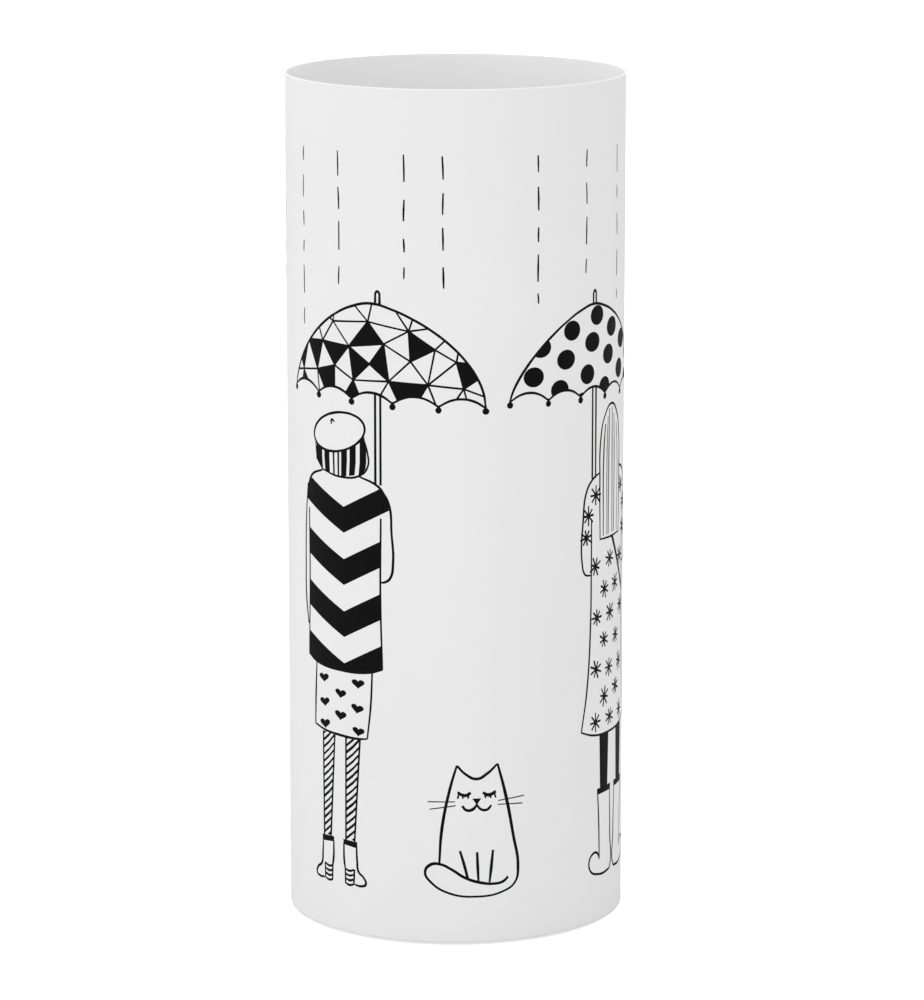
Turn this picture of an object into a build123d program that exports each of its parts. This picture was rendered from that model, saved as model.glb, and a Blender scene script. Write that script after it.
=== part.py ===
"""A round umbrella stand: a rolled and painted sheet-steel tube with a pressed base plate.

The tube is one sheet, rolled up and butt-welded at the back.  The weld is ground flush before the
stand is painted, so that only a hairline is left outside and nothing inside.  The top edge is rounded
so that it is safe to touch.  The base plate is a shallow pan pressed from the same sheet.  It sits a
little inside the tube and is held by six weld beads on its underside.  Four rubber pads carry the
stand.  A moulded drip tray lies loose on the base plate and lifts out through the top.

Millimetres, +Z up.  The origin is on the floor, on the tube's axis.  The front of the stand faces -Y
and the seam is at the back, on +Y.
"""

from build123d import *
import os

# ---- Driving dimensions ----
TUBE_D = 195.0            # outside diameter of the tube
STAND_H = 490.0           # floor to rim
SHEET = 0.8               # sheet steel, with its paint
EDGE_GAP = 1.5            # the pads hold the tube's lower edge this far off the floor

# ---- Tube ----
RIM_ROUND = 0.38          # nearly half the sheet, so that the rim is a half round
LOWER_ROUND = 0.2         # broken edge along the bottom
SEAM_W = 0.6              # hairline over the ground weld, on the outside only
SEAM_DEPTH = 0.12
SEAM_OVERCUT = 0.1        # the hairline's cutter stands this far out of the tube

# ---- Base plate ----
BASE_UNDERSIDE = 4.0      # height of the flat underside above the floor
FLANGE_H = 12.0           # height of the turned-up edge above the flat
BEND_R = 1.6              # bend radius at the middle of the sheet
BEAD_R = 60.0             # circle of the stiffening bead
BEAD_W = 8.0
BEAD_RISE = 1.2
BEAD_BEND_R = 1.5

# ---- Weld beads under the base ----
WELD_COUNT = 6
WELD_ARC = 7.0            # degrees of the circle that one bead covers
WELD_LEG = 1.8            # leg of the fillet, along the plate and down the tube

# ---- Drip tray ----
TRAY_WALL = 1.8
TRAY_FLOOR_R = 85.0       # middle of the wall at the floor
TRAY_TOP_R = 89.5         # middle of the wall at the lip
TRAY_LIP_R = 93.5         # outer edge of the lip
TRAY_H = 26.0             # lip's top above the base plate
TRAY_BEND_R = 6.0
TRAY_LIP_BEND_R = 1.5
TRAY_LIP_ROUND = 0.8      # rounding of the lip's outer edge, nearly half the wall
TRAY_FOOT_H = 1.8         # ring under the floor that the tray stands on
TRAY_FOOT_R = 76.0
TRAY_FOOT_W = 3.0
TRAY_RIB_H = 2.0          # ribs that keep the umbrella tips out of the water
TRAY_RIB_W = 1.8
TRAY_RIB_RINGS = (22.0, 48.0)
TRAY_SPOKES = 12
TRAY_SPOKE_ENDS = (27.0, 74.0)

# ---- Foot pads ----
PAD_COUNT = 4
PAD_D = 22.0
PAD_CIRCLE_D = 150.0
PAD_ROUND = 0.8

# ---- Worked out from the above ----
TUBE_R = TUBE_D / 2
TUBE_INNER_R = TUBE_R - SHEET
TUBE_BOTTOM = EDGE_GAP
BASE_TOP = BASE_UNDERSIDE + SHEET
TRAY_UNDERSIDE = BASE_TOP + TRAY_FOOT_H
TRAY_FLOOR_TOP = TRAY_UNDERSIDE + TRAY_WALL
TRAY_TOP = BASE_TOP + TRAY_H


def make_tube_wall():
    """The rolled sheet: tube, rounded rim, broken lower edge and the seam's hairline."""
    with BuildPart() as tube_wall:
        with BuildSketch(Plane.XY.offset(TUBE_BOTTOM)):
            Circle(TUBE_R)
            Circle(TUBE_INNER_R, mode=Mode.SUBTRACT)
        extrude(amount=STAND_H - TUBE_BOTTOM)
        rim = tube_wall.edges().group_by(Axis.Z)[-1]
        fillet(rim, RIM_ROUND)
        lower_edge = tube_wall.edges().group_by(Axis.Z)[0]
        fillet(lower_edge, LOWER_ROUND)

        with BuildSketch(Plane.XY):
            with BuildLine():
                Polyline(
                    (-SEAM_W / 2, TUBE_R + SEAM_OVERCUT),
                    (0, TUBE_R - SEAM_DEPTH),
                    (SEAM_W / 2, TUBE_R + SEAM_OVERCUT),
                    close=True,
                )
            make_face()
        extrude(amount=STAND_H, mode=Mode.SUBTRACT)
    return tube_wall.part


def draw_base_section():
    """Half section of the base plate, in the XZ plane: flat, bead, flat and turned-up edge."""
    mid = BASE_UNDERSIDE + SHEET / 2
    edge_mid_r = TUBE_INNER_R - SHEET / 2
    ramp = BEAD_RISE
    with BuildSketch(Plane.XZ) as section:
        with BuildLine():
            FilletPolyline(
                (0, mid),
                (BEAD_R - BEAD_W / 2, mid),
                (BEAD_R - BEAD_W / 2 + ramp, mid + BEAD_RISE),
                (BEAD_R + BEAD_W / 2 - ramp, mid + BEAD_RISE),
                (BEAD_R + BEAD_W / 2, mid),
                (edge_mid_r, mid),
                (edge_mid_r, BASE_UNDERSIDE + FLANGE_H),
                radius=[BEAD_BEND_R] * 4 + [BEND_R],
            )
        trace(line_width=SHEET)
    return section.sketch


def make_base_plate():
    """The pressed pan, which fits the tube closely with its edge turned up."""
    with BuildPart() as base_plate:
        add(draw_base_section())
        revolve(axis=Axis.Z)
    return base_plate.part


def make_base_welds():
    """Six fillet weld beads in the corner between the base plate's underside and the tube."""
    with BuildPart() as bead:
        with BuildSketch(Plane.XZ):
            with BuildLine():
                Polyline(
                    (TUBE_INNER_R - BEND_R - WELD_LEG, BASE_UNDERSIDE),
                    (TUBE_INNER_R, BASE_UNDERSIDE - WELD_LEG / 2),
                    (TUBE_INNER_R, BASE_UNDERSIDE + BEND_R + WELD_LEG),
                    close=True,
                )
            make_face()
            add(draw_base_section(), mode=Mode.SUBTRACT)
        revolve(axis=Axis.Z, revolution_arc=WELD_ARC)
    with BuildPart() as base_welds:
        with PolarLocations(0, WELD_COUNT):
            add(bead.part.solids().sort_by(Axis.Z)[0])
    return base_welds.part


def make_drip_tray():
    """The moulded dish: sloping wall with a turned-out lip, a foot ring below and ribs inside."""
    floor_mid = TRAY_UNDERSIDE + TRAY_WALL / 2
    lip_mid = TRAY_TOP - TRAY_WALL / 2
    with BuildPart() as drip_tray:
        with BuildSketch(Plane.XZ):
            with BuildLine():
                FilletPolyline(
                    (0, floor_mid),
                    (TRAY_FLOOR_R, floor_mid),
                    (TRAY_TOP_R, lip_mid),
                    (TRAY_LIP_R, lip_mid),
                    radius=[TRAY_BEND_R, TRAY_LIP_BEND_R],
                )
            trace(line_width=TRAY_WALL)
        revolve(axis=Axis.Z)
        lip_edges = drip_tray.edges().filter_by(GeomType.CIRCLE).sort_by(SortBy.RADIUS)[-2:]
        fillet(lip_edges, TRAY_LIP_ROUND)

        with BuildSketch(Plane.XY.offset(BASE_TOP)):
            Circle(TRAY_FOOT_R + TRAY_FOOT_W / 2)
            Circle(TRAY_FOOT_R - TRAY_FOOT_W / 2, mode=Mode.SUBTRACT)
        extrude(amount=TRAY_FOOT_H + TRAY_WALL / 2)

        rib_start = TRAY_FLOOR_TOP - TRAY_WALL / 2
        spoke_in, spoke_out = TRAY_SPOKE_ENDS
        with BuildSketch(Plane.XY.offset(rib_start)):
            for ring in sorted(TRAY_RIB_RINGS, reverse=True):    # each ring is cut hollow before the next
                Circle(ring + TRAY_RIB_W / 2)
                Circle(ring - TRAY_RIB_W / 2, mode=Mode.SUBTRACT)
        extrude(amount=TRAY_RIB_H + TRAY_WALL / 2)
        with BuildSketch(Plane.XY.offset(rib_start)):
            with PolarLocations((spoke_in + spoke_out) / 2, TRAY_SPOKES):
                SlotOverall(spoke_out - spoke_in, TRAY_RIB_W)
        extrude(amount=TRAY_RIB_H + TRAY_WALL / 2)
    return drip_tray.part


def make_foot_pad(angle):
    """One stick-on rubber disc, at this angle round the stand."""
    centre = Vector(PAD_CIRCLE_D / 2, 0, 0).rotate(Axis.Z, angle)
    with BuildPart() as foot_pad:
        with BuildSketch(Plane(origin=(centre.X, centre.Y, 0))):
            Circle(PAD_D / 2)
        extrude(amount=BASE_UNDERSIDE)
        fillet(foot_pad.edges().group_by(Axis.Z)[0], PAD_ROUND)
    return foot_pad.part


pieces = {
    "tube_wall": make_tube_wall(),
    "base_plate": make_base_plate(),
    "base_welds": make_base_welds(),
    "drip_tray": make_drip_tray(),
}
for i in range(PAD_COUNT):
    pieces[f"foot_pad_{i + 1}"] = make_foot_pad(45 + i * 360 / PAD_COUNT)

os.makedirs("parts", exist_ok=True)
for name, piece in pieces.items():
    piece.label = name
    export_step(piece, f"parts/{name}.step")
    print(name, "solids", len(piece.solids()), "volume", round(piece.volume))
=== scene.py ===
# %% [markdown]
# # A printed steel umbrella stand
#
# The real stand is one sheet of thin steel, rolled into a tube and butt-welded up the back.  The weld
# is ground flush, the steel is coated with white powder, and the tube is screen-printed in black.  A
# pressed base plate closes the foot, a black tray catches the drips, and four rubber pads carry it.
#
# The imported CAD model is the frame.  It holds the sizes and what moves, and every piece below is
# built around it in the same metres.

import math
import random

import bmesh
import bpy
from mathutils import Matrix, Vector
from mathutils.geometry import delaunay_2d_cdt


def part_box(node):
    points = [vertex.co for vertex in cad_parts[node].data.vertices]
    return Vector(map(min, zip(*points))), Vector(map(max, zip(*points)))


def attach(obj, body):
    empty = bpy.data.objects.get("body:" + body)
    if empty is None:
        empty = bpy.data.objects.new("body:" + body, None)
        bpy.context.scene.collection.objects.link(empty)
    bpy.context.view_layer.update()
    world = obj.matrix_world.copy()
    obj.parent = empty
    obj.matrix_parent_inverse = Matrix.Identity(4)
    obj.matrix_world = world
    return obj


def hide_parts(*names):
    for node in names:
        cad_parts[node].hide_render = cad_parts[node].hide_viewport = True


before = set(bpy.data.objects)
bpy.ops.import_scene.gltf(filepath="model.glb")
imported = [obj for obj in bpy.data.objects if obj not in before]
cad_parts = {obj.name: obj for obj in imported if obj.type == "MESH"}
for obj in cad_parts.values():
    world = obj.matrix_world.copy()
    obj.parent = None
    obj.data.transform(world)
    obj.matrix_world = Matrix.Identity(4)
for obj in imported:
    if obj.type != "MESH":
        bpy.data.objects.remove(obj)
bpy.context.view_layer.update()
print("CAD nodes:", ", ".join(sorted(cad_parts)))

# %% [markdown]
# ## Sizes
#
# The tube's own box gives its radius, its rim and its lower edge.  All that is built below is worked
# out from those three, so a stand of another size would get its looks from the same script.

# %% Read the sizes from the frame
MM = 0.001
tube_low, tube_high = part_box("tube_wall")
TUBE_R = tube_high.x
RIM_Z = tube_high.z
FOOT_Z = tube_low.z
HALF_ROUND = math.pi * TUBE_R    # from the front to the back, along the surface
foot, rim = round(FOOT_Z / MM, 2), round(RIM_Z / MM, 2)
print("tube radius", round(TUBE_R / MM, 2), "mm, from", foot, "to", rim, "mm")

# %% [markdown]
# ## Camera
#
# A long lens far away keeps the tube's two sides almost parallel, as a product picture does.  It
# stands above the rim and looks down a little, so that the mouth shows as a narrow ellipse.  It is
# aimed by turning it and not by shifting the lens, so that other views keep the same framing.

# %% Place the camera
CAMERA_BACK = 2.648         # metres from the tube's axis, straight in front
CAMERA_UP = 0.772
CAMERA_LOOKS_DOWN = 11.36   # degrees
CAMERA_TURN = -0.08         # degrees; the stand is a little left of the middle
lens = bpy.data.cameras.new("camera")
lens.lens = 167.2
lens.sensor_width = 36
camera = bpy.data.objects.new("camera", lens)
camera.location = (0, -CAMERA_BACK, CAMERA_UP)
camera.rotation_euler = (math.radians(90 - CAMERA_LOOKS_DOWN), 0, math.radians(CAMERA_TURN))
bpy.context.collection.objects.link(camera)
bpy.context.scene.camera = camera
print("camera", CAMERA_BACK, "m back,", CAMERA_UP, "m up, lens", lens.lens, "mm")

# %% [markdown]
# ## Room and light
#
# A white object on white needs a bright, even room.  The world is a plain white sky, a little
# stronger on the left, so that the round wall turns slowly from light to less light, and stronger
# behind, so that the satin coat catches a bright line along both sides.  Two ramps make it: one from
# left to right, and one from the middle to the back that is added.  The standard view transform keeps
# white at white.

# %% Make the sky
SKY_LEFT, SKY_RIGHT = 1.23, 0.94
SKY_BACK = 0.55    # added straight behind, less and less towards the sides
bpy.context.scene.view_settings.view_transform = "Standard"
world = bpy.data.worlds.new("white room")
world.use_nodes = True
bpy.context.scene.world = world
sky_nodes, sky_links = world.node_tree.nodes, world.node_tree.links
way, parts, strength = [sky_nodes.new(kind) for kind in
                        ("ShaderNodeTexCoord", "ShaderNodeSeparateXYZ", "ShaderNodeMapRange")]
sky_links.new(way.outputs["Generated"], parts.inputs["Vector"])
sky_links.new(parts.outputs["X"], strength.inputs["Value"])
strength.inputs["From Min"].default_value = -1
strength.inputs["From Max"].default_value = 1
strength.inputs["To Min"].default_value = SKY_LEFT
strength.inputs["To Max"].default_value = SKY_RIGHT
back, total = sky_nodes.new("ShaderNodeMapRange"), sky_nodes.new("ShaderNodeMath")
back.inputs["To Max"].default_value = SKY_BACK
sky_links.new(parts.outputs["Y"], back.inputs["Value"])
sky_links.new(strength.outputs["Result"], total.inputs[0])
sky_links.new(back.outputs["Result"], total.inputs[1])
sky_nodes["Background"].inputs["Color"].default_value = (1, 1, 1, 1)
sky_links.new(total.outputs["Value"], sky_nodes["Background"].inputs["Strength"])
print("sky from", SKY_LEFT, "on the left to", SKY_RIGHT, "on the right, and", SKY_BACK, "more behind")

# %% [markdown]
# The floor is a plain white sheet.  A plain white shader would go grey round the foot, where the stand
# keeps the sky off it, or light the wall from below too much.  So the floor shows brighter than the
# light it throws back, as a studio table lit from below does: one shader for what the camera sees, with
# a glow, and a duller one for everything else.

# %% Lay the floor
FLOOR_HALF = 30.0         # metres
FLOOR_SHOWS = 0.6         # white of the floor as it is seen
FLOOR_GLOW = 0.72         # and its glow
FLOOR_GIVES = 0.47        # white of the floor as a source of light
floor_mesh = bmesh.new()
bmesh.ops.create_grid(floor_mesh, x_segments=1, y_segments=1, size=FLOOR_HALF)
floor_data = bpy.data.meshes.new("floor")
floor_mesh.to_mesh(floor_data)
floor_mesh.free()
floor = bpy.data.objects.new("floor", floor_data)
bpy.context.collection.objects.link(floor)
paper = bpy.data.materials.new("white floor")
paper.use_nodes = True
paper_nodes, paper_links = paper.node_tree.nodes, paper.node_tree.links
gives, shows = paper_nodes["Principled BSDF"], paper_nodes.new("ShaderNodeBsdfPrincipled")
gives.inputs["Base Color"].default_value = (FLOOR_GIVES, FLOOR_GIVES, FLOOR_GIVES, 1)
shows.inputs["Base Color"].default_value = (FLOOR_SHOWS, FLOOR_SHOWS, FLOOR_SHOWS, 1)
shows.inputs["Emission Color"].default_value = (1, 1, 1, 1)
shows.inputs["Emission Strength"].default_value = FLOOR_GLOW
for shader in (gives, shows):
    shader.inputs["Roughness"].default_value = 1
    shader.inputs["Specular IOR Level"].default_value = 0
ray, either = paper_nodes.new("ShaderNodeLightPath"), paper_nodes.new("ShaderNodeMixShader")
paper_links.new(ray.outputs["Is Camera Ray"], either.inputs["Fac"])
paper_links.new(gives.outputs["BSDF"], either.inputs[1])
paper_links.new(shows.outputs["BSDF"], either.inputs[2])
paper_links.new(either.outputs["Shader"], paper_nodes["Material Output"].inputs["Surface"])
floor_data.materials.append(paper)
print("floor", 2 * FLOOR_HALF, "m square")

# %% [markdown]
# Two soft lamps at the front reach into the mouth, where little sky gets in.  A small low one lights the
# foot, where the stand shades the floor that should light it.  They are area lamps, because a point or
# a sun would leave a hard edge inside the tube.


# %% Hang the lamps
def hang_lamp(name, place, aim, size, watts):
    """A square soft lamp at this place, turned to face the aim."""
    lamp = bpy.data.lights.new(name, "AREA")
    lamp.shape = "SQUARE"
    lamp.size = size
    lamp.energy = watts
    holder = bpy.data.objects.new(name, lamp)
    holder.location = place
    holder.rotation_euler = (Vector(aim) - Vector(place)).to_track_quat("-Z", "Y").to_euler()
    holder.visible_camera = False
    bpy.context.collection.objects.link(holder)
    print(name, watts, "W")


upper_half, lower_half = (0, 0, 0.7 * RIM_Z), (0, 0, 0.2 * RIM_Z)
hang_lamp("left lamp", (-2.4, -1.8, 1.7), upper_half, size=1.8, watts=9)
hang_lamp("right lamp", (2.4, -1.8, 1.7), upper_half, size=1.8, watts=6)
hang_lamp("low lamp", (0, -0.95, 0.05), lower_half, size=0.5, watts=0.6)

# %% [markdown]
# ## Finishes
#
# All patterns read the piece's own object coordinates, in metres, so a scale of 500 makes grain of
# about two millimetres.  A few helpers keep each finish short: one starts a material, one adds a
# noise, one sets the range that it works in, one blends two colours by it, and one turns it into relief.


# %% Helpers for finishes
NOISE_LOW, NOISE_HIGH = 0.3, 0.7    # a noise seldom leaves this range


def start_finish(name, colour, roughness):
    """A new material with one plain shader, ready for its patterns."""
    finish = bpy.data.materials.new(name)
    finish.use_nodes = True
    shader = finish.node_tree.nodes["Principled BSDF"]
    shader.inputs["Base Color"].default_value = (*colour, 1)
    shader.inputs["Roughness"].default_value = roughness
    return finish, shader


def add_noise(finish, scale, detail=2.0, stretch=(1, 1, 1)):
    """A noise in the piece's own metres. Returns the socket that carries it."""
    nodes, links = finish.node_tree.nodes, finish.node_tree.links
    place, noise = nodes.new("ShaderNodeTexCoord"), nodes.new("ShaderNodeTexNoise")
    mapping = nodes.new("ShaderNodeMapping")
    mapping.inputs["Scale"].default_value = stretch
    noise.inputs["Scale"].default_value = scale
    noise.inputs["Detail"].default_value = detail
    links.new(place.outputs["Object"], mapping.inputs["Vector"])
    links.new(mapping.outputs["Vector"], noise.inputs["Vector"])
    return noise.outputs["Fac"]


def spread(finish, source, low, high):
    """Maps the middle of a noise to values from low to high."""
    nodes, links = finish.node_tree.nodes, finish.node_tree.links
    ranged = nodes.new("ShaderNodeMapRange")
    ranged.inputs["From Min"].default_value = NOISE_LOW
    ranged.inputs["From Max"].default_value = NOISE_HIGH
    ranged.inputs["To Min"].default_value = low
    ranged.inputs["To Max"].default_value = high
    links.new(source, ranged.inputs["Value"])
    return ranged.outputs["Result"]


def blend_colours(finish, source, first, second):
    """Goes from one colour to another with a noise, and feeds the shader's colour."""
    nodes, links = finish.node_tree.nodes, finish.node_tree.links
    mix = nodes.new("ShaderNodeMix")
    mix.data_type = "RGBA"
    mix.inputs["A"].default_value = (*first, 1)
    mix.inputs["B"].default_value = (*second, 1)
    links.new(spread(finish, source, 0, 1), mix.inputs["Factor"])
    links.new(mix.outputs["Result"], nodes["Principled BSDF"].inputs["Base Color"])


def add_relief(finish, reliefs):
    """Stacks bumps on the shader: pairs of a height socket and its height in metres."""
    nodes, links = finish.node_tree.nodes, finish.node_tree.links
    below = None
    for source, height in reliefs:
        bump = nodes.new("ShaderNodeBump")
        bump.inputs["Distance"].default_value = height
        links.new(source, bump.inputs["Height"])
        if below is not None:
            links.new(below, bump.inputs["Normal"])
        below = bump.outputs["Normal"]
    links.new(below, nodes["Principled BSDF"].inputs["Normal"])


# %% [markdown]
# ### White powder coat
#
# Powder is sprayed on dry and melted in an oven.  It flows almost flat but keeps a soft "orange
# peel": swells of two to three millimetres, a few microns high, over a finer grain.  It is satin, so
# lamps show in it only as a broad glow.  The same recipe coats the tube, the base and the welds; the
# base is less well flowed, because nobody sees it.


# %% Powder coat
def make_powder_coat(name, white, peel):
    """White satin powder. The more peel, the less flat it has flowed."""
    finish, shader = start_finish(name, white, 0.45)
    cloudy = add_noise(finish, 9, 3)
    blend_colours(finish, cloudy, [c * 0.985 for c in white], [c * 1.01 for c in white])
    links = finish.node_tree.links
    links.new(spread(finish, add_noise(finish, 60), 0.42, 0.5), shader.inputs["Roughness"])
    add_relief(finish, [
        (add_noise(finish, 380, 1), 12e-6 * peel),
        (add_noise(finish, 2200, 2), 2e-6 * peel),
    ])
    return finish


tube_coat = make_powder_coat("white powder coat", (0.86, 0.86, 0.86), 1.0)
base_coat = make_powder_coat("white powder coat, base", (0.84, 0.84, 0.838), 2.0)
weld_coat = make_powder_coat("white powder coat, welds", (0.82, 0.82, 0.815), 3.0)
print("coats:", tube_coat.name + ";", base_coat.name + ";", weld_coat.name)

# %% [markdown]
# ### Black screen ink
#
# The ink is pressed through a fine mesh and cured on the coat.  It is nearly black and a little duller
# than the powder, with a faint grain left by the mesh.

# %% Screen ink
ink, ink_shader = start_finish("black screen ink", (0.004, 0.004, 0.004), 0.5)
blend_colours(ink, add_noise(ink, 700, 3), (0.003, 0.003, 0.003), (0.005, 0.005, 0.0052))
ink.node_tree.links.new(spread(ink, add_noise(ink, 500), 0.46, 0.58), ink_shader.inputs["Roughness"])
ink_shader.inputs["Specular IOR Level"].default_value = 0.06
add_relief(ink, [(add_noise(ink, 2600, 2), 3e-6)])
print("ink:", ink.name)

# %% [markdown]
# ### Black tray plastic and pad rubber
#
# The tray is moulded in polypropylene with a fine spark-eroded grain, so it is dull with a soft sheen.
# The pads are cut from foam rubber: darker, rougher and full of small pores.

# %% Plastic and rubber
plastic, plastic_shader = start_finish("black moulded plastic", (0.03, 0.031, 0.033), 0.5)
blend_colours(plastic, add_noise(plastic, 40, 4), (0.026, 0.027, 0.029), (0.037, 0.038, 0.040))
plastic_sheen = spread(plastic, add_noise(plastic, 90), 0.44, 0.56)
plastic.node_tree.links.new(plastic_sheen, plastic_shader.inputs["Roughness"])
add_relief(plastic, [(add_noise(plastic, 1400, 2), 18e-6), (add_noise(plastic, 4200, 1), 6e-6)])

rubber, _ = start_finish("black foam rubber", (0.02, 0.02, 0.02), 0.85)
blend_colours(rubber, add_noise(rubber, 600, 4), (0.012, 0.012, 0.012), (0.032, 0.031, 0.03))
add_relief(rubber, [(add_noise(rubber, 900, 3), 80e-6), (add_noise(rubber, 3000, 2), 25e-6)])
print("black parts:", plastic.name + ";", rubber.name)

# %% [markdown]
# ## The pieces that the CAD model already has right
#
# The base plate, the tray and the pads are plain pressed, moulded and cut parts.  The CAD model has all
# their bends, ribs and rounded edges, so they keep its shapes and only get a finish.

# %% Finish the CAD pieces
CAD_FINISHES = {"base_plate": base_coat, "drip_tray": plastic}
CAD_FINISHES.update({name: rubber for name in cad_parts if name.startswith("foot_pad")})
for name, finish in CAD_FINISHES.items():
    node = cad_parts[name]
    node.data.materials.clear()
    node.data.materials.append(finish)
    print(name, "gets", finish.name)

# %% [markdown]
# ## Flat work, then rolling
#
# A tube wall and what is printed on it are both flat first and round later.  So both are drawn flat:
# x runs along the surface from the middle of the front, y is the height above the floor, and z stands
# out from the paint.  Then they are cut along the same upright lines and rolled up together.  Because
# the cuts agree, the ink lies on the wall's facets with the same gap everywhere.

# %% Helpers for flat work
FACETS = 240                       # flat strips round the tube
FACET = 2 * HALF_ROUND / FACETS    # width of a strip
INK_HEIGHT = 0.05 * MM             # how far the ink stands out of the paint
PAINT_R = TUBE_R - INK_HEIGHT      # the paint's surface, so that the ink ends at the CAD radius
SHARP_FROM = math.radians(35)      # an edge that turns more than this is shaded sharp


def cut_square(mesh, direction, at):
    """Cuts a bmesh with a plane square to this direction."""
    geom = [*mesh.verts, *mesh.edges, *mesh.faces]
    bmesh.ops.bisect_plane(mesh, geom=geom, dist=1e-8, plane_co=Vector(direction) * at, plane_no=direction)


def cut_into_strips(mesh):
    """Cuts a flat bmesh along the upright lines between the tube's facets."""
    low = math.ceil(min(v.co.x for v in mesh.verts) / FACET)
    high = math.floor(max(v.co.x for v in mesh.verts) / FACET)
    for i in range(low, high + 1):
        cut_square(mesh, (1, 0, 0), i * FACET)


def roll_up(mesh):
    """Rolls a flat bmesh round the tube's axis, so that what stood out in z stands out from the wall."""
    for v in mesh.verts:
        along, up, out = v.co
        r = PAINT_R + out
        turn = along / TUBE_R
        v.co = (r * math.sin(turn), -r * math.cos(turn), up)


def make_piece(mesh, name, finish):
    """Writes a bmesh to a new object that rides on the stand."""
    data = bpy.data.meshes.new(name)
    mesh.to_mesh(data)
    mesh.free()
    data.materials.append(finish)
    data.shade_smooth()
    data.set_sharp_from_angle(angle=SHARP_FROM)
    piece = bpy.data.objects.new(name, data)
    bpy.context.collection.objects.link(piece)
    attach(piece, "stand")
    print(name, len(data.polygons), "faces")
    return piece


# %% [markdown]
# ## The tube
#
# The sheet is 0.8 mm thick, and its rim is rounded to a half circle.  Both are easy on the flat sheet:
# one rectangle, one extrusion and three bevels.  The two ends meet at the back, where a fine bevel
# leaves the hairline over the ground weld.

# %% Cut the flat sheet
SHEET = 0.8 * MM
RIM_ROUND = 0.38 * MM
LOWER_ROUND = 0.2 * MM
SEAM_ROUND = 0.15 * MM

sheet = bmesh.new()
corners = [(-HALF_ROUND, FOOT_Z), (HALF_ROUND, FOOT_Z), (HALF_ROUND, RIM_Z), (-HALF_ROUND, RIM_Z)]
outer_face = sheet.faces.new([sheet.verts.new((x, y, 0)) for x, y in corners])
pulled = bmesh.ops.extrude_face_region(sheet, geom=[outer_face])["geom"]
inner_verts = [v for v in pulled if isinstance(v, bmesh.types.BMVert)]
bmesh.ops.translate(sheet, verts=inner_verts, vec=(0, 0, -SHEET))
bmesh.ops.recalc_face_normals(sheet, faces=sheet.faces)


def round_edges(mesh, chosen, by, segments):
    """Rounds the edges whose middle the chosen test allows."""
    edges = [e for e in mesh.edges if chosen((e.verts[0].co + e.verts[1].co) / 2)]
    bmesh.ops.bevel(
        mesh, geom=edges, offset=by, segments=segments, affect="EDGES", profile=0.5, material=-1,
        clamp_overlap=True,
    )


def near(a, b):
    """True if two places on the sheet are the same."""
    return abs(a - b) < 0.01 * MM


round_edges(sheet, lambda m: near(m.y, RIM_Z) and not near(abs(m.x), HALF_ROUND), RIM_ROUND, 4)
round_edges(sheet, lambda m: near(m.y, FOOT_Z) and not near(abs(m.x), HALF_ROUND), LOWER_ROUND, 2)
round_edges(sheet, lambda m: near(m.z, 0) and near(abs(m.x), HALF_ROUND), SEAM_ROUND, 2)
print("flat sheet:", len(sheet.faces), "faces")

# %% [markdown]
# Rolling moves every point of the flat sheet to its place round the axis.  A Simple Deform modifier could
# bend it too, but the ink needs exactly the same bend, and a formula gives both the same.  A narrow band
# is cut off beside each rounded edge first, so that the smooth shading of the wall starts beyond it.

# %% Roll the sheet
SUPPORT = 1.2 * MM    # width of that band
cut_into_strips(sheet)
for level in (FOOT_Z + SUPPORT, RIM_Z - SUPPORT):
    cut_square(sheet, (0, 1, 0), level)
for side in (-1, 1):
    cut_square(sheet, (1, 0, 0), side * (HALF_ROUND - SUPPORT))
roll_up(sheet)
bmesh.ops.remove_doubles(sheet, verts=sheet.verts, dist=0.001 * MM)
tube = make_piece(sheet, "tube", tube_coat)
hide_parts("tube_wall")

# %% [markdown]
# ## Weld beads
#
# Six short beads under the base hold it in the tube.  A hand-laid bead is a plump ridge with blunt ends
# and a ripple for every dab of the wire, which plain CAD wedges lack.  Each starts here as a sphere: its
# poles become the two ends, its girth swells with the ripples, and it is bent round the tube's corner.

# %% Lay the beads
WELD_COUNT = 6
WELD_ARC = math.radians(7)
WELD_GIRTH = 1.6 * MM      # half the thickness of a bead
WELD_BLUNTNESS = 5         # a sphere has 2; the more, the blunter are the ends
WELD_RIPPLES = 7           # half waves from the middle of a bead to its end
WELD_RIPPLE = 0.07         # their height, as a share of the girth
WELD_SINK = 0.2            # share of the girth that is melted into the tube
WELD_LIFT = 1.3 * MM       # from the lower edge of the CAD wedges to the middle of a bead
welds_low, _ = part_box("base_welds")
WELD_Z = welds_low.z + WELD_LIFT
WELD_R = TUBE_R - SHEET - (1 - WELD_SINK) * WELD_GIRTH
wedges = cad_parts["base_welds"].data.vertices
corner = next(v.co for v in wedges if v.co.x > 0.9 * TUBE_R and v.co.y != 0)
first_middle = math.copysign(WELD_ARC / 2, corner.y)    # the first wedge starts on the x axis

beads = bmesh.new()
for i in range(WELD_COUNT):
    middle = first_middle + i * 2 * math.pi / WELD_COUNT
    made = bmesh.ops.create_uvsphere(beads, u_segments=14, v_segments=40, radius=1)["verts"]
    for v in made:
        along, round_it = v.co.z, Vector((v.co.x, v.co.y))
        blunt = (1 - min(1, abs(along)) ** WELD_BLUNTNESS) ** 0.5
        ripple = 1 + WELD_RIPPLE * math.cos(along * WELD_RIPPLES * math.pi)
        girth = WELD_GIRTH * blunt * ripple
        out, up = round_it.normalized() * girth if round_it.length > 1e-6 else (0, 0)
        turn, r = middle + along * WELD_ARC / 2, WELD_R + out
        v.co = (r * math.cos(turn), r * math.sin(turn), WELD_Z + up)
bmesh.ops.recalc_face_normals(beads, faces=beads.faces)
welds = make_piece(beads, "welds", weld_coat)
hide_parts("base_welds")

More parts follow.
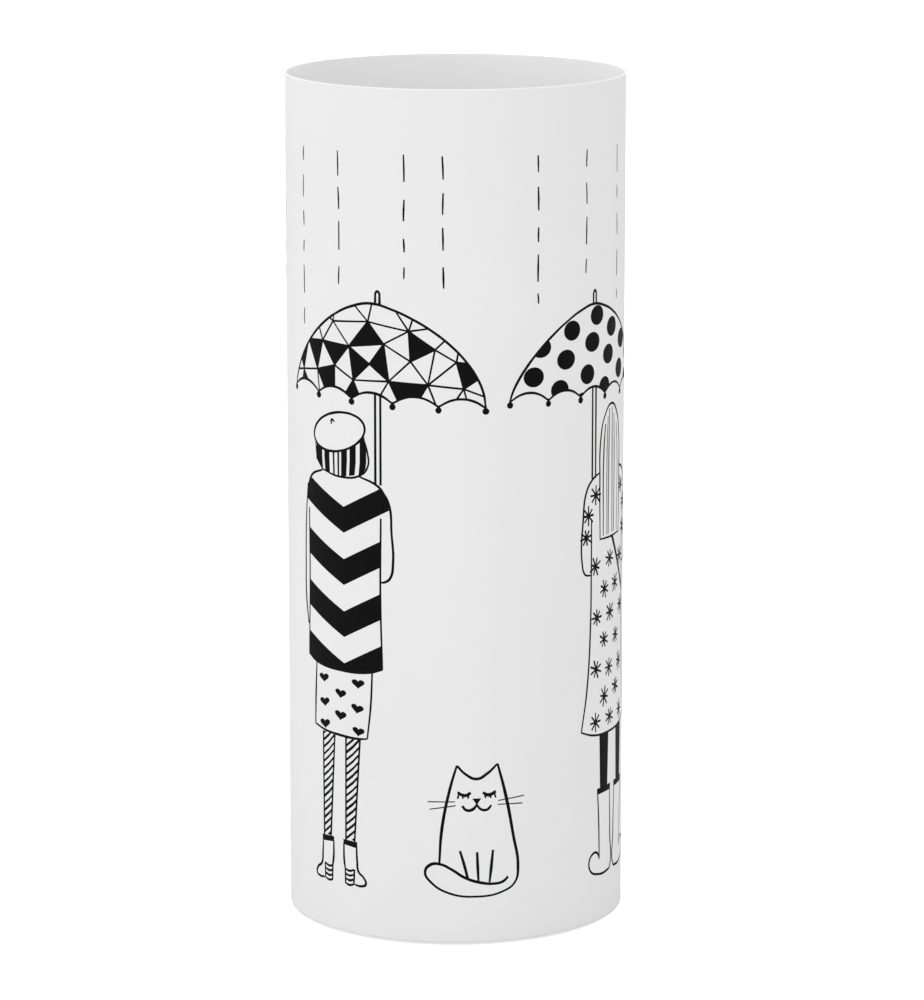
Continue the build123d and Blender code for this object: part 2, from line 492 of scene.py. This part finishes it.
# %% [markdown]
# ## Drawing with ink
#
# The print is made like the real one, as flat artwork in millimetres.  An image on the wall would blur
# close up, and a shader's patterns can't draw figures, so the ink is a film with a shape of its own.  A
# line is a curve with a round section that is later squashed to a film, so its width can swell and thin
# a little as a pen's does.  A black area is a flat filled curve.  Where a pattern runs into an outline,
# Blender's constrained triangulation cuts it off there, as a mask would.


# %% The drawing kit
LINE = 1.5                       # width of an ordinary line, in millimetres
TIP = 0.75                       # share of its width that a line has at its two ends
PEN_LOW, PEN_HIGH = 0.86, 1.1    # a pen's width thins and swells between these shares
SQUASH = 1.6 * INK_HEIGHT        # height of one millimetre of a line's round section on the tube


class Drawing:
    """One figure of the print. Its own x starts at its middle, and mirrored turns it round."""

    def __init__(self, name, middle, mirrored=False):
        self.name = name
        self.middle = middle
        self.side = -1 if mirrored else 1
        self.pen = random.Random(name)
        self.lines = bpy.data.curves.new(name + "_lines", "CURVE")
        self.lines.dimensions = "3D"
        self.lines.bevel_depth = 0.5
        self.lines.bevel_resolution = 2
        self.lines.use_fill_caps = True
        self.areas = bpy.data.curves.new(name + "_areas", "CURVE")
        self.areas.dimensions = "2D"
        self.areas.fill_mode = "BOTH"
        self.areas.extrude = 0.5
        for curve in (self.lines, self.areas):
            curve.resolution_u = 6

    def place(self, x, y):
        """From the figure's own x to the place on the flat print."""
        return (self.middle + self.side * x, y, 0)

    def line(self, points, width=LINE, closed=False):
        """A pen line that runs smoothly through the points. Its width may be a list, one per point."""
        spline = self.lines.splines.new("BEZIER")
        spline.bezier_points.add(len(points) - 1)
        last = len(points) - 1
        widths = width if isinstance(width, list) else [width] * len(points)
        for i, (point, (x, y)) in enumerate(zip(spline.bezier_points, points)):
            point.co = self.place(x, y)
            point.handle_left_type = point.handle_right_type = "AUTO"
            tip = TIP if i in (0, last) and not closed else 1.0
            point.radius = widths[i] * tip * self.pen.uniform(PEN_LOW, PEN_HIGH)
        spline.use_cyclic_u = closed

    def area(self, points):
        """A black area with straight sides."""
        spline = self.areas.splines.new("POLY")
        spline.points.add(len(points) - 1)
        for point, (x, y) in zip(spline.points, points):
            point.co = (*self.place(x, y), 1)
        spline.use_cyclic_u = True

    def masked(self, shapes, outline):
        """Black areas where the shapes lie inside the outline."""
        for cell in cut_off(shapes, outline):
            self.area(cell)

    def print_on_tube(self):
        """Makes the drawing a film, rolls it on to the tube and returns the piece."""
        film = bmesh.new()
        for curve in (self.lines, self.areas):
            holder = bpy.data.objects.new(curve.name, curve)
            mesh = bpy.data.meshes.new_from_object(holder)
            film.from_mesh(mesh)
            bpy.data.objects.remove(holder)
            bpy.data.meshes.remove(mesh)
            bpy.data.curves.remove(curve)
        bmesh.ops.remove_doubles(film, verts=film.verts, dist=1e-4)
        bmesh.ops.scale(film, verts=film.verts, vec=(MM, MM, SQUASH))
        for v in film.verts:
            v.co.z = max(-INK_HEIGHT, min(v.co.z, INK_HEIGHT))
        bmesh.ops.recalc_face_normals(film, faces=film.faces)
        cut_into_strips(film)
        roll_up(film)
        return make_piece(film, self.name, ink)


def turns_left(shape):
    """True if the outline runs anticlockwise, which the triangulation expects."""
    return sum(a[0] * b[1] - b[0] * a[1] for a, b in zip(shape, shape[1:] + shape[:1])) > 0


def cut_off(shapes, outline):
    """The parts of some shapes that lie inside an outline, as outlines of their own."""
    points, faces = [], []
    for shape in [*shapes, outline]:
        order = list(range(len(points), len(points) + len(shape)))
        faces.append(order if turns_left(shape) else order[::-1])
        points.extend(Vector(p) for p in shape)
    mask = len(faces) - 1
    made, _, cells, _, _, owners = delaunay_2d_cdt(points, [], faces, 4, 1e-4)
    kept = [cell for cell, own in zip(cells, owners) if mask in own and len(own) > 1]
    return [[tuple(made[i]) for i in cell] for cell in kept]


def round_outline(x, y, half_w, half_h, tilt=0.0, count=20):
    """Points of an ellipse, for a dot or a cap."""
    cosine, sine = math.cos(tilt), math.sin(tilt)
    points = []
    for i in range(count):
        a = 2 * math.pi * i / count
        px, py = half_w * math.cos(a), half_h * math.sin(a)
        points.append((x + px * cosine - py * sine, y + px * sine + py * cosine))
    return points


# %% [markdown]
# ### Rain
#
# Broken upright lines above the umbrellas.  A seeded random pen sets the length of each dash, so no two
# lines are alike and every run gives the same ones.

# %% Draw the rain
RAIN_TOP = 454
RAIN_LINE = 1.2
RAIN = {    # place of each line round the tube, and the height that it ends at
    -284: 392, -250: 384, -217: 389, -178: 362, -142: 372, -104: 346, -72: 378, -30: 376, -7: 367,
    47: 369, 83: 383, 119: 364, 156: 362, 192: 378, 226: 388, 262: 384, 290: 366,
}
rain = Drawing("print_rain", middle=0)
for x, lowest in RAIN.items():
    y = RAIN_TOP - rain.pen.uniform(0, 2)
    drift = rain.pen.uniform(-0.7, 0.9)
    while y > lowest + 4:
        length = min(rain.pen.uniform(6, 17), y - lowest)
        lean = rain.pen.uniform(-0.5, 0.6)
        top, bottom = x + drift, x + drift + lean
        rain.line([(top, y), (top + lean * 0.7, y - length / 2), (bottom, y - length)], RAIN_LINE)
        drift += lean
        y -= length + rain.pen.uniform(6, 10)
rain.print_on_tube()

# %% [markdown]
# ### Umbrellas
#
# All the umbrellas share one outline: a dome by a formula, a lower edge of five scallops, a ball at each
# rib's end, a ferrule and a double shaft.  They differ in size and pattern.

# %% The shape of an umbrella
SCALLOPS = 5
SCALLOP_RISE = 4.8
LEAN = 2.0          # the left end of a canopy is this much above its middle, and the right end below
BALL_DROP = 1.9     # from a rib's end to the middle of its ball
BALL_R = 1.9
FERRULE = 7.6       # height of the ferrule over the canopy
SHAFT_HALF = 1.65   # from the shaft's middle to each of its two lines
DOME_LEFT, DOME_RIGHT = 0.72, 0.55    # the smaller, the fuller is that side of the dome
DOME_ROUND = 1.6                      # the larger, the flatter is the top of the dome
DOME_STEPS = 24                       # steps from the middle of the dome to either end


class Umbrella(Drawing):
    """A drawing with the outline that all the umbrellas share."""

    def __init__(self, name, middle, apex, edge, half_w, shaft_x, shaft_low):
        super().__init__(name, middle)
        self.apex, self.edge, self.half_w = apex, edge, half_w
        self.shaft_x, self.shaft_low = shaft_x, shaft_low
        self.ribs = [half_w * (2 * i / SCALLOPS - 1) for i in range(SCALLOPS + 1)]

    def hem(self, x):
        """Height of the line that the ribs end on."""
        return self.edge - LEAN * x / self.half_w

    def dome(self, x):
        """Height of the canopy's upper outline."""
        fall = DOME_LEFT if x < 0 else DOME_RIGHT
        share = max(0, 1 - abs(x / self.half_w) ** DOME_ROUND) ** fall
        return self.hem(x) + (self.apex - self.edge) * share

    def arch(self, left, right, steps):
        """One scallop of the lower edge, from rib to rib."""
        points = []
        for i in range(steps + 1):
            t = i / steps
            x = left + (right - left) * t
            points.append((x, self.hem(x) + SCALLOP_RISE * math.sin(math.pi * t) ** 0.8))
        return points

    def outline(self):
        """The whole canopy: over the dome from left to right, and back along the scallops."""
        turns = [math.pi / 2 * (i / DOME_STEPS - 1) for i in range(2 * DOME_STEPS + 1)]
        over = [self.half_w * math.sin(turn) for turn in turns]
        points = [(x, self.dome(x)) for x in over]
        for left, right in zip(self.ribs[-2::-1], self.ribs[:0:-1]):
            points += self.arch(left, right, 8)[-2::-1]
        return points[:-1]

    def draw_frame(self):
        """Everything but the pattern: outline, balls, ferrule and shaft."""
        self.line(self.outline()[0:2 * DOME_STEPS + 1:3])
        for left, right in zip(self.ribs, self.ribs[1:]):
            self.line(self.arch(left, right, 4))
        for x in self.ribs:
            ball = self.hem(x) - BALL_DROP
            self.area(round_outline(x, ball, BALL_R + self.pen.uniform(-0.2, 0.3), BALL_R, count=12))
            self.line([(x, self.hem(x) + 1), (x, ball)], 1.6)
        x, top = self.shaft_x, self.dome(self.shaft_x)
        under_canopy = self.hem(x) + SCALLOP_RISE - 0.6
        for side in (-1, 1):
            self.line([(x + side * 1.4, top - 0.5), (x + side * 1.3, top + FERRULE - 0.8)], 2.1)
            shaft = x + side * SHAFT_HALF
            self.line([(shaft, under_canopy), (shaft, self.shaft_low)], 2.2)
        shoulder = top + FERRULE - 1.2
        self.line([(x - 1.3, shoulder), (x, top + FERRULE), (x + 1.3, shoulder)], 1.8)


# %% [markdown]
# The first canopy is a net of straight lines between knots, with some of the triangles filled.  The
# inner knots are listed one by one and the outer ones stand off the canopy, so that the net runs out
# over its edge and is cut off there.  A seeded random choice fills triangles that share no side.  A side
# that two cells share lies inside the canopy and becomes a line.

# %% Umbrella of black and white facets
facets = Umbrella(
    "print_umbrella_facets", middle=-49.5, apex=369, edge=313.6, half_w=66.5, shaft_x=4.2, shaft_low=266,
)
INNER_KNOTS = [
    (-56, 12), (-50, 30), (-41, 14), (-36, 31), (-27, 43), (-26, 18), (-15, 30), (-12, 11), (-2, 45),
    (-1, 21), (8, 33), (11, 12), (23, 41), (24, 24), (34, 11), (38, 31), (50, 24), (54, 9),
]
OUTER_KNOTS = [
    (-80, 8), (-67, 34), (-46, 54), (-24, 66), (4, 68), (30, 62), (54, 46), (74, 22), (82, -2),
    (-62, -9), (-38, -9), (-26, -9), (-2, -9), (22, -9), (42, -9), (60, -12),
]
knots = [Vector((x, facets.edge + y)) for x, y in INNER_KNOTS + OUTER_KNOTS]
corners_of_net, _, triangles, *_ = delaunay_2d_cdt(knots, [], [], 0, 1e-4)
net = [[tuple(corners_of_net[i]) for i in triangle] for triangle in triangles]
BLACK_TRIANGLES = 13
black = []
for triangle in facets.pen.sample(triangles, len(triangles)):
    apart = all(len(set(triangle) & set(other)) < 2 for other in black)
    if apart and len(black) < BLACK_TRIANGLES:
        black.append(triangle)

times_used = {}
for cell in cut_off(net, facets.outline()):
    rounded = [(round(x, 2), round(y, 2)) for x, y in cell]
    for a, b in zip(rounded, rounded[1:] + rounded[:1]):
        side = (min(a, b), max(a, b))
        times_used[side] = times_used.get(side, 0) + 1
for side, times in times_used.items():
    if times == 2:
        facets.line(side)
facets.masked([[tuple(corners_of_net[i]) for i in triangle] for triangle in black], facets.outline())
facets.draw_frame()
facets.print_on_tube()

# %% [markdown]
# The second canopy has oval dots on a slanted lattice, and the canopy's edge cuts off the outer ones.

# %% Umbrella of dots
dots = Umbrella(
    "print_umbrella_dots", middle=91, apex=364.6, edge=312.4, half_w=60, shaft_x=0.5, shaft_low=264,
)
FIRST_DOT, DOT_ACROSS, DOT_DOWN = (-19, 351), (22, 7.5), (-4.5, -16.5)
lattice = []
for i in range(-3, 5):
    for j in range(-2, 5):
        x = FIRST_DOT[0] + i * DOT_ACROSS[0] + j * DOT_DOWN[0]
        y = FIRST_DOT[1] + i * DOT_ACROSS[1] + j * DOT_DOWN[1] + dots.pen.uniform(-1, 1)
        lattice.append(round_outline(x, y, 6.6 + dots.pen.uniform(-0.5, 0.5), 5.7))
dots.masked(lattice, dots.outline())
dots.draw_frame()
dots.print_on_tube()

# %% [markdown]
# The other two umbrellas stand at the back.  The first has every second panel black.  A rib looks like
# a quarter of an ellipse from the side, and the panel between two ribs is one black shape.

# %% Umbrella of panels
panels = Umbrella(
    "print_umbrella_panels", middle=232, apex=368, edge=313, half_w=64, shaft_x=-3, shaft_low=266,
)


def rib_line(umbrella, foot_x):
    """A rib of the canopy, from its top to its foot, as a quarter of an ellipse."""
    foot = umbrella.hem(foot_x)
    quarter = [math.pi / 2 * i / 8 for i in range(9)]
    return [(foot_x * math.sin(t), foot + (umbrella.apex - foot) * math.cos(t)) for t in quarter]


black_panels = []
for left, right in zip(panels.ribs[1:-1:2], panels.ribs[2::2]):
    left_rib, right_rib = rib_line(panels, left), rib_line(panels, right)
    black_panels.append(left_rib + panels.arch(left, right, 6)[1:-1] + right_rib[:0:-1])
for foot_x in panels.ribs[1:-1]:
    panels.line(rib_line(panels, foot_x)[::2], 1.15)
panels.masked(black_panels, panels.outline())
panels.draw_frame()
panels.print_on_tube()

# %% [markdown]
# The last one has hoops.  Each is a band between two shares of the canopy's height, so that it follows
# the dome above and the line of the ribs' ends below.

# %% Umbrella of hoops
hoops = Umbrella(
    "print_umbrella_hoops", middle=-224, apex=366, edge=312, half_w=64, shaft_x=-2, shaft_low=266,
)
across = [hoops.half_w * (i / 16 - 1) for i in range(33)]


def hoop(low, high):
    """A band between two shares of the canopy's height."""
    lower = [(x, hoops.hem(x) + (hoops.dome(x) - hoops.hem(x)) * low) for x in across]
    upper = [(x, hoops.hem(x) + (hoops.dome(x) - hoops.hem(x)) * high) for x in across]
    return lower + upper[-2:0:-1]


hoops.masked([hoop(0.26, 0.40), hoop(0.54, 0.68), hoop(0.82, 0.92)], hoops.outline())
hoops.draw_frame()
hoops.print_on_tube()

# %% [markdown]
# ### Walkers
#
# The walkers are plain figures seen from behind, so they have no faces.  Each is put together from a
# head, a coat, legs and boots, all drawn round the figure's own middle line.  The two at the front and
# the two at the back share those parts in other pairs and with other patterns.


# %% Heads
CAP_TILT = math.radians(14)


def draw_cap_and_bob(figure):
    """A round soft cap, worn at a slant, over straight bobbed hair with black locks."""
    figure.line(round_outline(-2.5, 293.5, 20.6, 10.9, CAP_TILT, 16), closed=True)
    figure.line([(-7, 297.5), (-6.6, 300), (-4.4, 299)])
    under_cap = round_outline(-2.5, 293.5, 20.6, 10.9, CAP_TILT, 32)[17:31]
    bob = under_cap + [(19.4, 284), (19.8, 276.5), (15.5, 271), (0, 268), (-15, 270.5), (-20.2, 276)]
    locks = []
    x = -20.5
    while x < 20:
        wide = figure.pen.choice((1.4, 2.2, 4.4, 5.4))
        low_x, low_wide = x * 0.88, wide * 0.8
        locks.append([
            (low_x, 262), (low_x + low_wide, 262), (x + wide, 278), (x + wide, 300), (x, 300), (x, 278),
        ])
        x += wide + figure.pen.uniform(1.5, 3.6)
    figure.masked(locks, bob)
    figure.line([bob[0], bob[-1], (-20.2, 276), (-15, 270.5)], 1.2)
    figure.line([(-15, 270.5), (0, 268), (15.5, 271), (19.8, 276.5), (19.4, 284), (16.8, 292)], 1.2)


def draw_long_hair(figure):
    """Long straight hair, cut level across the back, drawn with a few strands."""
    figure.line([(-13.6, 227.5), (-14.2, 262), (-13.6, 284), (-9, 298), (0, 304.5),
                 (9, 298), (13.6, 284), (14.2, 262), (13.6, 227.5)])
    figure.line([(-14, 227.5), (0, 227), (14, 227.5)])
    for x in (-9.6, -5.6, -3.2, 1.4, 4.8, 9.8):
        top = 303 - x * x * 0.09 - figure.pen.uniform(0, 3)
        end = (x + figure.pen.uniform(-0.5, 0.5), 229)
        figure.line([(x * 0.8, top), (x, 280), end], figure.pen.uniform(1.0, 1.6))


# %% [markdown]
# The short coat ends at the hips and shows a skirt below it.  The long coat is cut wide at the hem.
# Each takes its pattern as a list of black shapes, and its own outline masks them.


# %% Coats and skirt
SHORT_COAT = [
    (-15, 270), (-25.5, 265.5), (-30, 258), (-31.2, 250), (-28.6, 245), (-28.4, 205), (-29.6, 160.5),
    (-22, 157.6), (0, 155.6), (20, 157), (28.6, 159.5),
    (27.5, 200), (27.9, 248), (33, 252), (31.6, 259), (26.5, 265), (13, 270),
]
LONG_COAT = [
    (-14, 268), (-21, 264), (-23, 256), (-22.6, 208), (-23, 180), (-26, 142), (-31, 117),
    (-20, 113.4), (0, 112), (20, 113.4),
    (31, 117), (26, 142), (23, 180), (22.6, 208), (23, 256), (21, 264), (14, 268),
]


def draw_short_coat(figure, pattern):
    """The short coat and its sleeves."""
    figure.masked(pattern, SHORT_COAT)
    figure.line(SHORT_COAT[:3])
    figure.line([(-28.6, 246), (-28.4, 205), (-29.6, 160.5)])
    figure.line(SHORT_COAT[6:11])
    figure.line([(28.6, 159.5), (27.5, 200), (27.9, 247)])
    figure.line(SHORT_COAT[-3:][::-1])
    figure.line([(-30, 260), (-32.2, 240), (-33, 215), (-32.6, 192), (-30, 178)])
    figure.line([
        (26.5, 265), (32.4, 257), (34.6, 238), (35.4, 222), (33.6, 213), (30.6, 210.6), (27.6, 210),
    ])


def draw_long_coat(figure, pattern):
    """The long coat and its sleeves. Both halves are alike."""
    figure.masked(pattern, LONG_COAT)
    sleeve = [(14, 266.5), (21, 264), (27, 258), (30.4, 240), (31, 216), (28.4, 209.4), (23.4, 208)]
    edge = [(22.6, 240), (22.6, 208), (23, 180), (26, 142), (31, 117)]
    for side in (-1, 1):
        figure.line([(side * x, y) for x, y in sleeve])
        figure.line([(side * x, y) for x, y in edge])
    figure.line([(-31, 117), (-20, 113.4), (0, 112), (20, 113.4), (31, 117)])


def heart(x, y, half_w, tilt):
    """A small heart from the well-known curve of sines."""
    points = []
    for i in range(20):
        t = 2 * math.pi * i / 20
        px = math.sin(t) ** 3
        py = (13 * math.cos(t) - 5 * math.cos(2 * t) - 2 * math.cos(3 * t) - math.cos(4 * t)) / 24
        points.append((x + half_w * (px - py * tilt), y + half_w * (py + px * tilt)))
    return points


def draw_skirt(figure):
    """A narrow skirt with rows of small hearts, two and one by turns, from the top down."""
    top_row, row_down = 149, 6.7
    figure.line([(-21.5, 157), (-22.6, 138), (-23.2, 120.5)])
    figure.line([(-23.2, 120.5), (-14, 118.4), (0, 117.4), (12, 117.2), (18.6, 118)])
    figure.line([(22, 157), (21, 138), (18.6, 118)])
    for row in range(5):
        for x in ((-14.5, 12.5) if row % 2 == 0 else (-1.5,)):
            x += figure.pen.uniform(-1, 1)
            y = top_row - row * row_down + figure.pen.uniform(-0.8, 0.8)
            figure.area(heart(x, y, figure.pen.uniform(4.1, 4.7), figure.pen.uniform(-0.2, 0.2)))


# %% [markdown]
# Legs and boots come in two pairs: striped stockings in ankle boots, and dark legs in tall ones.  A
# small function turns a boot round for the other foot, so that each is written once.


# %% Legs and boots
def draw_striped_legs(figure, top):
    """Two thin legs in stockings with slanted stripes."""
    for left, right, low_left, low_right in ((-15.5, -5.4, -15, -9.2), (3.4, 13.6, 3, 9.4)):
        leg = [(low_left, 56.6), (low_right, 56.6), (right, top), (left, top)]
        stripes = []
        for i in range(19):
            y, thick = 38 + i * 4.2, figure.pen.uniform(1.5, 2.1)
            stripes.append([
                (left - 2, y), (left + 5, y + 5.6), (right + 2, y + 13),
                (right + 2, y + 13 + thick), (left + 5, y + 5.6 + thick), (left - 2, y + thick),
            ])
        figure.masked(stripes, leg)
        figure.line([(low_left, 55), (left, top)], 1.9)
        figure.line([(low_right, 55), (right, top)], 1.9)


def draw_ankle_boots(figure):
    """Short boots from behind: a dark cuff, the toes turned out, and a heel of stacked layers."""
    for side, middle in ((-1, -1), (1, -4.4)):
        def at(x, y):
            """A place on this boot, measured outwards from its middle."""
            return (middle + side * x, y)

        figure.area([at(5.4, 56.4), at(15.8, 56), at(15.6, 52.4), at(5.6, 53.4)])
        figure.line([
            at(15.2, 54), at(15.6, 45), at(16.6, 38.6), at(20.4, 35.4), at(21.6, 32), at(18.6, 30.4),
            at(14, 30.6),
        ])
        figure.line([at(5.8, 54), at(6, 44), at(6.8, 39)], 1.8)
        for i in range(4):
            figure.line([at(6.8, 39 - i * 2.8), at(10, 38.2 - i * 2.8), at(13.4, 39.4 - i * 2.9)], 1.6)
        figure.line([at(6.8, 39.2), at(7, 30.4)], 1.7)
        figure.line([at(13.6, 39.6), at(13.2, 30.6)], 1.7)


def draw_dark_legs(figure, top):
    """Two legs in dark trousers or tights."""
    for left in (-13, 10.5):
        figure.area([(left, top), (left + 1, 80), (left + 10.2, 80), (left + 11.4, top)])


def draw_tall_boots(figure):
    """Tall boots with a dark band at the top and toes that curl up."""
    for side, middle in ((-1, -7), (1, 15.5)):
        def at(x, y):
            """A place on this boot, measured outwards from its middle."""
            return (middle + side * x, y)

        figure.area([at(-8.4, 80.6), at(8.4, 80.6), at(8.2, 77), at(-8.2, 77)])
        figure.line([at(7.6, 78), at(6.2, 60), at(5.4, 38)])
        figure.line([
            at(5.4, 38.6), at(8, 42.4), at(13, 42.4), at(16.2, 38.4), at(14.6, 32.6), at(8, 29.6),
            at(-4, 29), at(-8.4, 30.4), at(-8.6, 50), at(-7.6, 78),
        ])


# %% [markdown]
# The patterns of the coats come from short loops: chevrons, stars, bands and checks.  A star is four pen
# lines that cross, so it is drawn and not masked, and only stands where it clears the hair.


# %% Patterns for coats
def chevrons():
    """Broad bands that dip to a point just right of the middle."""
    bands = []
    for i in range(4):
        top = 251 - 30.3 * i
        bands.append([
            (-40, top + 19.5), (-40, top + 4.5), (2.5, top - 15),
            (40, top + 4.5), (40, top + 19.5), (2.5, top),
        ])
    return bands


def level_bands():
    """Level bands from the hem up to the armpits."""
    return [[(-40, y), (40, y), (40, y + 7), (-40, y + 7)] for y in range(118, 235, 16)]


def checks():
    """Black squares of a chequered cloth, with a thin gap between them."""
    squares = []
    for row in range(9):
        for column in range(-3, 4):
            if (row + column) % 2 == 0:
                x, y = column * 10.5 - 5.2, 156 + row * 12.6
                squares.append([(x, y), (x + 10.1, y), (x + 10.1, y + 12.2), (x, y + 12.2)])
    return squares


def draw_star(figure, x, y):
    """Four pen lines that cross."""
    turn = figure.pen.uniform(0, math.pi / 4)
    for i in range(4):
        a = turn + i * math.pi / 4
        reach = figure.pen.uniform(4.6, 6.2)
        dx, dy = reach * math.cos(a), reach * math.sin(a)
        figure.line([(x - dx, y - dy), (x + dx, y + dy)], 1.75)


def draw_stars(figure):
    """Stars in staggered rows over the long coat, and a few on the sleeves and shoulders."""
    for side in (-1, 1):
        draw_star(figure, side * 25.5, 243)
        draw_star(figure, side * 18.4, 254)
    for row in range(8):
        y = 120 + row * 15.6
        for column in range(-2, 3):
            x = (column + 0.5 * (row % 2)) * 17.5 + figure.pen.uniform(-1.5, 1.5)
            half_width = 26 - (y - 117) * 0.08 if y < 205 else 28
            under_hair = abs(x) < 16 and y > 221
            if abs(x) < half_width and not under_hair:
                draw_star(figure, x, y + figure.pen.uniform(-1.5, 1.5))


# %% [markdown]
# Now the parts are put together.  The drawing order doesn't matter, because nothing covers anything:
# each part is drawn only where it shows.

# %% Draw the four walkers
striped = Drawing("print_walker_chevrons", middle=-71.5)
draw_cap_and_bob(striped)
draw_short_coat(striped, chevrons())
draw_skirt(striped)
draw_striped_legs(striped, top=117.5)
draw_ankle_boots(striped)
striped.print_on_tube()

starry = Drawing("print_walker_stars", middle=112)
draw_long_hair(starry)
draw_long_coat(starry, [])
draw_stars(starry)
starry.area([(0.5, 227), (3.6, 227), (23, 194), (22.6, 190)])    # strap of a bag
draw_dark_legs(starry, top=112.5)
draw_tall_boots(starry)
starry.print_on_tube()

banded = Drawing("print_walker_bands", middle=252, mirrored=True)
draw_cap_and_bob(banded)
draw_long_coat(banded, level_bands())
draw_dark_legs(banded, top=112.5)
draw_tall_boots(banded)
banded.print_on_tube()

checked = Drawing("print_walker_checks", middle=-246, mirrored=True)
below_hair = [(-40, 150), (40, 150), (40, 226), (-40, 226)]
draw_long_hair(checked)
draw_short_coat(checked, cut_off(checks(), below_hair))
draw_skirt(checked)
draw_striped_legs(checked, top=117.5)
draw_ankle_boots(checked)
checked.print_on_tube()

# %% [markdown]
# ### Cats
#
# A cat sits between the walkers with its eyes shut and its tail round its feet.  The ears are sharp, so
# the outline is three lines that meet there.  A second one sits at the back, turned round.


# %% Draw the cats
def draw_cat(cat):
    """A sitting cat: back, ears, body and tail, face, and front legs."""
    body = [(12, 106.5), (16.8, 88), (21.4, 64), (24.4, 45)]
    under_tail = [(22.6, 36), (15, 31), (0, 28.8), (-16, 31), (-26, 37)]
    tail = [
        (-29.6, 43), (-26.4, 47.6), (-21, 48), (-14.4, 45), (-7, 40.2), (2, 37), (10, 36), (15.4, 37),
        (18.4, 39.6),
    ]
    cat.line([(-21.4, 48), (-20, 68), (-15.4, 92), (-11.4, 106)], 1.9)
    cat.line([(-11.4, 106), (-6.5, 101), (0, 98), (6, 101), (12, 106.5)], 1.7)
    cat.line(body + under_tail + tail, [1.9] * len(body) + [1.35] * len(under_tail) + [1.8] * len(tail))
    for side in (-1, 1):
        cat.line([(side * 3.4, 90), (side * 7, 88.4), (side * 11, 90.4)], 2.1)
        for x in (4.4, 7.4, 10.2):
            cat.line([(side * x, 89.6), (side * (x + 0.7), 86.6)], 1.5)
        cat.line([(0, 82.8), (side * 2.4, 80.2), (side * 5.8, 79.8), (side * 8.4, 82.4)], 1.8)
        cat.line([(side * 12.4, 84.8), (side * 28, 85.6 + side)], 0.9)
        cat.line([(side * 12, 82.6), (side * 27, 81.2 + side)], 0.9)
    cat.area([(-2.6, 86.6), (0, 82.8), (2.6, 86.6)])
    cat.line([(0, 84), (0, 82.4)], 1.8)
    cat.line([(-9.6, 56), (-7, 47), (-5.2, 39.8)], 1.9)
    cat.line([(0.2, 55), (0.6, 46), (1, 37.6)], 1.9)
    cat.line([(9.4, 56), (8.4, 46), (7.4, 37)], 1.9)


for name, middle, mirrored in (("print_cat_front", 12, False), ("print_cat_back", -174, True)):
    cat = Drawing(name, middle, mirrored)
    draw_cat(cat)
    cat.print_on_tube()
